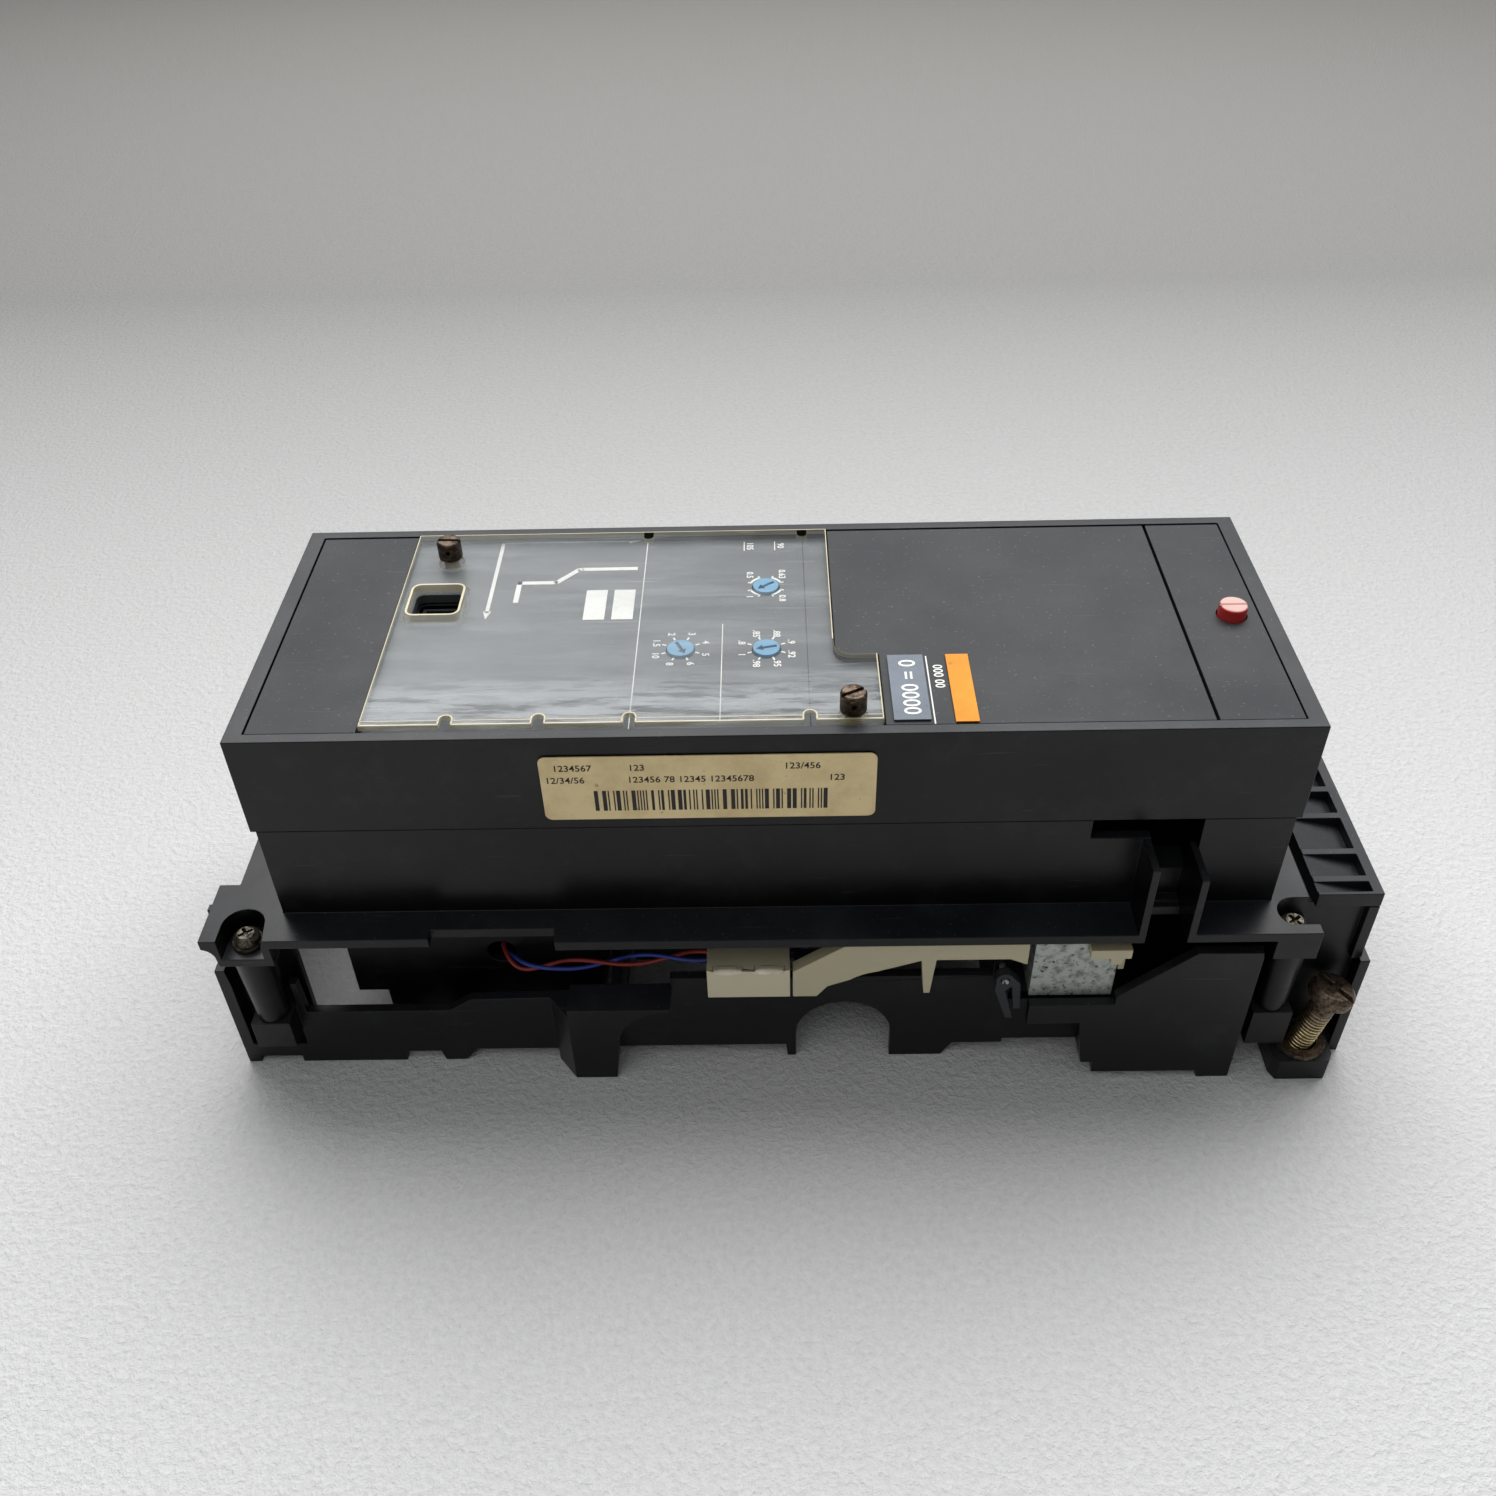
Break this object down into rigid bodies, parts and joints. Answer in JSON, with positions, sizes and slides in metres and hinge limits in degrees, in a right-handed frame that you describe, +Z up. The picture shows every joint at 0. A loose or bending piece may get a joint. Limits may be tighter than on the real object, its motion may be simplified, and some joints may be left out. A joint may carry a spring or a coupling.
{
  "type": "air circuit breaker trip unit",
  "caption": "Electronic trip unit of an air circuit breaker: black moulded case with a clear setting window, dials, reset button, flange, trip lever and open base frame.",
  "frame": {"origin": "centre of the whole unit's outline on the surface it lies on", "axes": "+X along the unit towards its terminal block, +Y from the lever side to the far side, +Z up out of the setting face"},
  "size_m": [0.336, 0.1238, 0.135],
  "materials": {
    "black_moulding": "satin moulded, dusty",
    "slate_panel": "fine textured",
    "clear_polycarbonate": "hazy, scratched",
    "cream_nylon": "moulded, aged",
    "blue_nylon": "moulded",
    "red_nylon": "moulded",
    "grey_nylon": "moulded",
    "oxidised_steel": "brown oxide",
    "passivated_steel": "yellow passivated, worn",
    "zinc_plate": "spangled zinc",
    "spring_steel": "drawn wire",
    "circuit_board": "solder mask",
    "copper_winding": "enamelled wire",
    "aged_paper": "aged printed film",
    "grey_film": "printed film",
    "orange_film": "printed film",
    "red_insulation": "extruded",
    "blue_insulation": "extruded"
  },
  "bodies": {
    "trip_unit": {"front_cover": "black_moulding", "middle_housing": "black_moulding", "lower_tray": "black_moulding", "plug_block": "black_moulding", "base_frame": "black_moulding", "blank_panel": "slate_panel", "main_panel": "slate_panel", "end_panel": "slate_panel", "setting_panel": "slate_panel", "terminal_cover": "slate_panel", "wire_clip": "cream_nylon", "base_current_switch": "grey_nylon", "overload_switch": "grey_nylon", "short_circuit_switch": "grey_nylon", "test_socket": "grey_nylon", "reset_switch": "grey_nylon", "smoothing_capacitor_1": "grey_nylon", "smoothing_capacitor_2": "grey_nylon", "housing_screw_front_left": "passivated_steel", "housing_screw_front_right": "passivated_steel", "housing_screw_back_left": "passivated_steel", "housing_screw_back_right": "passivated_steel", "housing_washer_front_left": "passivated_steel", "housing_washer_front_right": "passivated_steel", "housing_washer_back_left": "passivated_steel", "housing_washer_back_right": "passivated_steel", "mounting_washer": "passivated_steel", "release_yoke": "zinc_plate", "lever_pin": "zinc_plate", "toggle_pin": "zinc_plate", "board_screw_1": "zinc_plate", "board_screw_2": "zinc_plate", "board_screw_3": "zinc_plate", "board_screw_4": "zinc_plate", "reset_spring": "spring_steel", "control_board": "circuit_board", "power_board": "circuit_board", "supply_transformer": "copper_winding", "release_coil": "copper_winding", "data_label": "aged_paper", "current_label": "grey_film", "accent_label": "orange_film", "red_wire": "red_insulation", "blue_wire": "blue_insulation"},
    "clear_cover": {"clear_cover": "clear_polycarbonate"},
    "rear_seal": {"rear_seal_screw": "oxidised_steel"},
    "front_seal": {"front_seal_screw": "oxidised_steel"},
    "base_current_dial": {"base_current_dial": "blue_nylon"},
    "overload_dial": {"overload_dial": "blue_nylon"},
    "short_circuit_dial": {"short_circuit_dial": "blue_nylon"},
    "reset_button": {"reset_button": "red_nylon"},
    "release_plunger": {"release_plunger": "cream_nylon"},
    "trip_lever": {"trip_lever": "cream_nylon"},
    "reset_toggle": {"reset_toggle": "grey_nylon"},
    "mounting_screw": {"mounting_screw": "passivated_steel"}
  },
  "joints": [
    {"name": "clear_cover_lift", "type": "slide", "parent": "trip_unit", "child": "clear_cover", "axis": [0, 0, 1], "range_m": [0, 0.03]},
    {"name": "rear_seal_turn", "type": "hinge", "parent": "clear_cover", "child": "rear_seal", "pos_m": [-0.0985, 0.034, 0.13], "axis": [0, 0, 1], "range_deg": [-180, 180]},
    {"name": "front_seal_turn", "type": "hinge", "parent": "clear_cover", "child": "front_seal", "pos_m": [0.017, -0.041, 0.13], "axis": [0, 0, 1], "range_deg": [-180, 180]},
    {"name": "base_current_turn", "type": "hinge", "parent": "trip_unit", "child": "base_current_dial", "pos_m": [-0.0051, 0.0202, 0.125], "axis": [0, 0, 1], "range_deg": [-135, 135]},
    {"name": "overload_turn", "type": "hinge", "parent": "trip_unit", "child": "overload_dial", "pos_m": [-0.0051, -0.01, 0.125], "axis": [0, 0, 1], "range_deg": [-135, 135]},
    {"name": "short_circuit_turn", "type": "hinge", "parent": "trip_unit", "child": "short_circuit_dial", "pos_m": [-0.0287, -0.0097, 0.125], "axis": [0, 0, 1], "range_deg": [-135, 135]},
    {"name": "reset_press", "type": "slide", "parent": "trip_unit", "child": "reset_button", "axis": [0, 0, -1], "range_m": [0, 0.003], "stiffness_N_per_m": 400, "springref_m": -0.002, "deforming": ["reset_spring"]},
    {"name": "release_stroke", "type": "slide", "parent": "trip_unit", "child": "release_plunger", "axis": [1, 0, 0], "range_m": [0, 0.003], "stiffness_N_per_m": 300, "springref_m": -0.002},
    {"name": "lever_swing", "type": "hinge", "parent": "trip_unit", "child": "trip_lever", "pos_m": [0.005, -0.056, 0.042], "axis": [0, 1, 0], "range_deg": [0, 4.2]},
    {"name": "toggle_swing", "type": "hinge", "parent": "trip_unit", "child": "reset_toggle", "pos_m": [0.062, -0.055, 0.0408], "axis": [0, 1, 0], "range_deg": [-8, 8], "stiffness_Nm_per_rad": 0.01},
    {"name": "mounting_screw_turn", "type": "hinge", "parent": "trip_unit", "child": "mounting_screw", "pos_m": [0.1526, -0.0545, 0.0043], "axis": [0.1994, 0, 0.9799], "range_deg": [-180, 180]}
  ],
  "couplings": [
    {"joint": "lever_swing", "follows": "release_stroke", "rad_per_m": 23.271}
  ]
}
